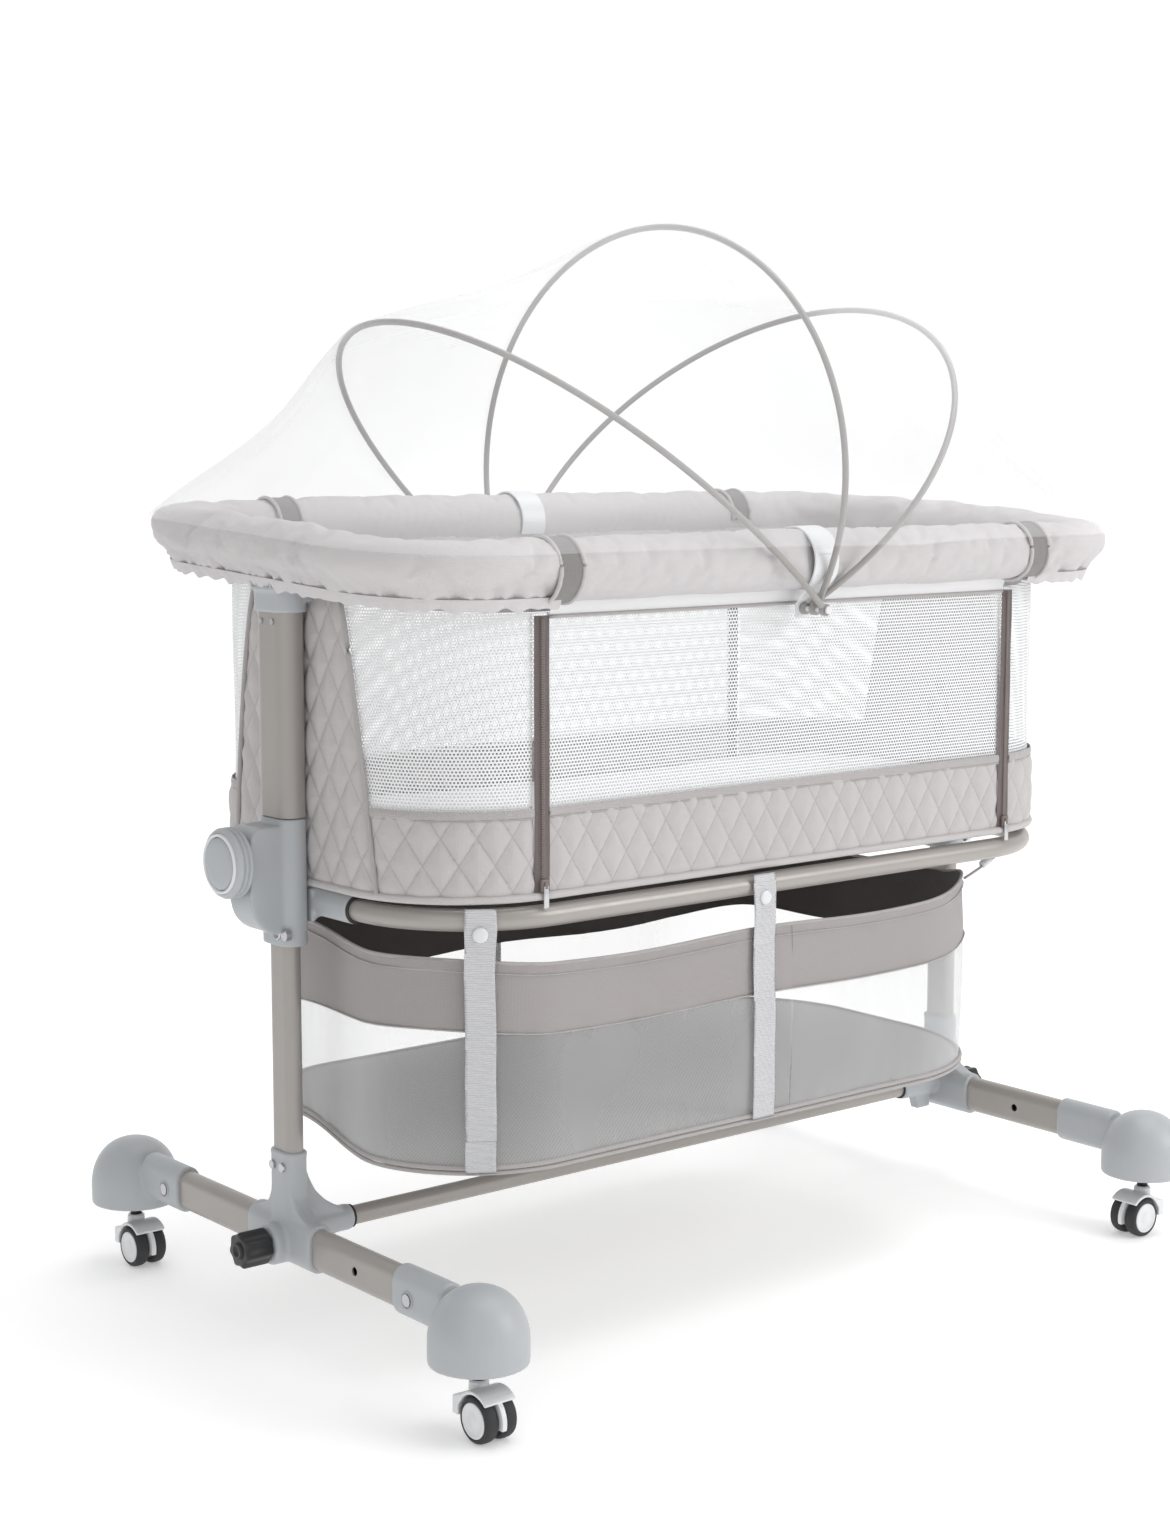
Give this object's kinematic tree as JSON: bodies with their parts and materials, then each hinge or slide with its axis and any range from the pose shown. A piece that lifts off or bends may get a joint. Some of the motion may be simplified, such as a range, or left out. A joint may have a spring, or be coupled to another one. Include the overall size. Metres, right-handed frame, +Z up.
{
  "type": "bassinet on stand",
  "caption": "Bedside bassinet with padded rail, mesh sides, folding net hoops and hanging storage basket, on telescopic posts with sliding feet and twin-wheel casters.",
  "frame": {"origin": "on the floor under the middle of the stand", "axes": "+X along the bassinet to its right-hand end, +Y from the zipped front to the back, +Z up"},
  "size_m": [1, 0.662, 1.0288],
  "materials": {
    "tube_paint": "satin warm grey powder coat",
    "grey_plastic": "smooth cool grey",
    "screw_steel": "plain steel",
    "black_plastic": "fine texture",
    "pale_plastic": "smooth white",
    "caster_tyre": "soft rubber with pale discs",
    "rail_fabric": "fine plain weave",
    "wall_fabric": "quilted band and open mesh",
    "zip_tape": "woven zip tape",
    "hoop_sleeve": "narrow sleeve over wire",
    "net_mesh": "sheer net",
    "mattress_fabric": "soft knit",
    "deck_cover": "plain woven cover over board",
    "storage_mesh": "coarse mesh with a plain top band",
    "webbing": "ribbed webbing"
  },
  "bodies": {
    "stand": {"foot_connector_left": "grey_plastic", "foot_connector_right": "grey_plastic", "lower_post_left": "tube_paint", "lower_post_right": "tube_paint", "crossbar": "tube_paint", "frame_screws": "screw_steel", "post_guides": "grey_plastic"},
    "foot_left": {"foot_tube_left": "tube_paint", "foot_cap_left_front": "grey_plastic", "foot_cap_left_back": "grey_plastic", "cap_screws_left": "screw_steel"},
    "star_knob_left": {"star_knob_left": "black_plastic"},
    "foot_right": {"foot_tube_right": "tube_paint", "foot_cap_right_front": "grey_plastic", "foot_cap_right_back": "grey_plastic", "cap_screws_right": "screw_steel"},
    "star_knob_right": {"star_knob_right": "black_plastic"},
    "bassinet": {"upper_post_left": "tube_paint", "upper_post_right": "tube_paint", "height_housing_left": "grey_plastic", "height_housing_right": "grey_plastic", "post_bracket_left": "grey_plastic", "post_bracket_right": "grey_plastic", "upper_fasteners": "screw_steel", "ring_bracket_left": "grey_plastic", "ring_bracket_right": "grey_plastic", "ring_tube_front": "tube_paint", "ring_tube_back": "tube_paint", "deck_board": "deck_cover", "mattress": "mattress_fabric", "front_panel": "wall_fabric", "back_panel": "wall_fabric", "end_wall_left": "wall_fabric", "end_wall_right": "wall_fabric", "zip_tapes": "zip_tape", "rail_end_tube_left": "tube_paint", "rail_end_tube_right": "tube_paint", "rail_bars": "tube_paint", "rail_cover": "rail_fabric", "net_clips": "pale_plastic", "hoop_middle": "hoop_sleeve", "net_left": "net_mesh", "net_right": "net_mesh", "storage_floor": "storage_mesh", "storage_wall": "storage_mesh", "storage_straps": "webbing"},
    "height_knob_left": {"height_knob_left": "grey_plastic"},
    "height_knob_right": {"height_knob_right": "grey_plastic"},
    "caster_left_front": {"caster_fork_left_front": "pale_plastic"},
    "wheels_left_front": {"caster_wheels_left_front": "caster_tyre"},
    "caster_left_back": {"caster_fork_left_back": "pale_plastic"},
    "wheels_left_back": {"caster_wheels_left_back": "caster_tyre"},
    "caster_right_front": {"caster_fork_right_front": "pale_plastic"},
    "wheels_right_front": {"caster_wheels_right_front": "caster_tyre"},
    "caster_right_back": {"caster_fork_right_back": "pale_plastic"},
    "wheels_right_back": {"caster_wheels_right_back": "caster_tyre"},
    "hoop_left": {"hoop_left": "hoop_sleeve"},
    "hoop_right": {"hoop_right": "hoop_sleeve"},
    "zip_slider_left": {"zip_slider_left": "screw_steel"},
    "zip_slider_right": {"zip_slider_right": "screw_steel"}
  },
  "joints": [
    {"name": "height_slide", "type": "slide", "parent": "stand", "child": "bassinet", "axis": [0, 0, 1], "range_m": [-0.025, 0.1]},
    {"name": "foot_slide_left", "type": "slide", "parent": "stand", "child": "foot_left", "axis": [0, 1, 0], "range_m": [-0.12, 0.12]},
    {"name": "star_knob_turn_left", "type": "hinge", "parent": "stand", "child": "star_knob_left", "pos_m": [-0.47, 0, 0.095], "axis": [-1, 0, 0], "continuous": true},
    {"name": "height_knob_pull_left", "type": "slide", "parent": "bassinet", "child": "height_knob_left", "axis": [-1, 0, 0], "range_m": [0, 0.008], "stiffness_N_per_m": 500, "springref_m": -0.002},
    {"name": "foot_slide_right", "type": "slide", "parent": "stand", "child": "foot_right", "axis": [0, 1, 0], "range_m": [-0.12, 0.12]},
    {"name": "star_knob_turn_right", "type": "hinge", "parent": "stand", "child": "star_knob_right", "pos_m": [0.47, 0, 0.095], "axis": [1, 0, 0], "continuous": true},
    {"name": "height_knob_pull_right", "type": "slide", "parent": "bassinet", "child": "height_knob_right", "axis": [1, 0, 0], "range_m": [0, 0.008], "stiffness_N_per_m": 500, "springref_m": -0.002},
    {"name": "caster_swivel_left_front", "type": "hinge", "parent": "foot_left", "child": "caster_left_front", "pos_m": [-0.43, -0.288, 0.06], "axis": [0, 0, 1], "continuous": true},
    {"name": "wheel_spin_left_front", "type": "hinge", "parent": "caster_left_front", "child": "wheels_left_front", "pos_m": [-0.43, -0.301, 0.02], "axis": [1, 0, 0], "continuous": true},
    {"name": "caster_swivel_left_back", "type": "hinge", "parent": "foot_left", "child": "caster_left_back", "pos_m": [-0.43, 0.288, 0.06], "axis": [0, 0, 1], "continuous": true},
    {"name": "wheel_spin_left_back", "type": "hinge", "parent": "caster_left_back", "child": "wheels_left_back", "pos_m": [-0.43, 0.275, 0.02], "axis": [1, 0, 0], "continuous": true},
    {"name": "caster_swivel_right_front", "type": "hinge", "parent": "foot_right", "child": "caster_right_front", "pos_m": [0.43, -0.288, 0.06], "axis": [0, 0, 1], "continuous": true},
    {"name": "wheel_spin_right_front", "type": "hinge", "parent": "caster_right_front", "child": "wheels_right_front", "pos_m": [0.417, -0.288, 0.02], "axis": [0, -1, 0], "continuous": true},
    {"name": "caster_swivel_right_back", "type": "hinge", "parent": "foot_right", "child": "caster_right_back", "pos_m": [0.43, 0.288, 0.06], "axis": [0, 0, 1], "continuous": true},
    {"name": "wheel_spin_right_back", "type": "hinge", "parent": "caster_right_back", "child": "wheels_right_back", "pos_m": [0.41874, 0.2815, 0.02], "axis": [0.5, -0.866, 0], "continuous": true},
    {"name": "hoop_fold_left", "type": "hinge", "parent": "bassinet", "child": "hoop_left", "pos_m": [0, 0, 0.664], "axis": [0, 1, 0], "range_deg": [0, 28], "deforming": ["net_left"]},
    {"name": "hoop_fold_right", "type": "hinge", "parent": "bassinet", "child": "hoop_right", "pos_m": [0, 0, 0.664], "axis": [0, -1, 0], "range_deg": [0, 11], "deforming": ["net_right"]},
    {"name": "zip_slide_left", "type": "slide", "parent": "bassinet", "child": "zip_slider_left", "axis": [0, 0, 1], "range_m": [0, 0.215]},
    {"name": "zip_slide_right", "type": "slide", "parent": "bassinet", "child": "zip_slider_right", "axis": [0, 0, 1], "range_m": [0, 0.215]}
  ]
}
